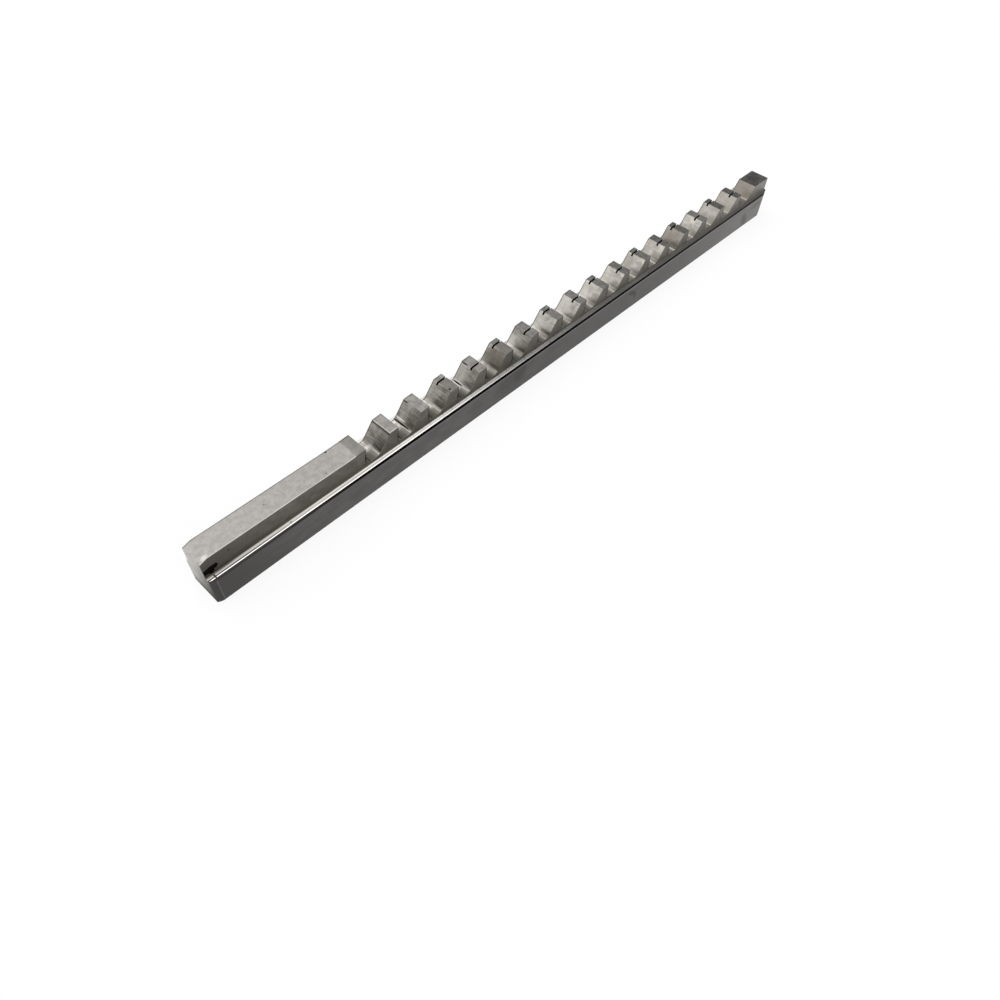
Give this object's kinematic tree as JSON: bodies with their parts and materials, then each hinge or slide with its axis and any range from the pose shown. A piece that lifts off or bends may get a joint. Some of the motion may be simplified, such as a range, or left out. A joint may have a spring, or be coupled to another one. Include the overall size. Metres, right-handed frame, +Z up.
{
  "type": "keyway broach",
  "caption": "Push-type keyway broach: a one-piece toothed steel bar with a wide guide body and a narrow blade of rising hooked teeth, for cutting keyways in bores.",
  "frame": {"origin": "middle of the bar's back, the flat face that the bar rests on", "axes": "+X along the bar towards the leading pilot, +Y across the bar, +Z up through the teeth"},
  "size_m": [0.3524, 0.0154, 0.0221],
  "materials": {
    "tool_steel": "ground lands, milled tooth backs, darker ground sides"
  },
  "bodies": {
    "root": {"broach": "tool_steel"}
  },
  "joints": []
}
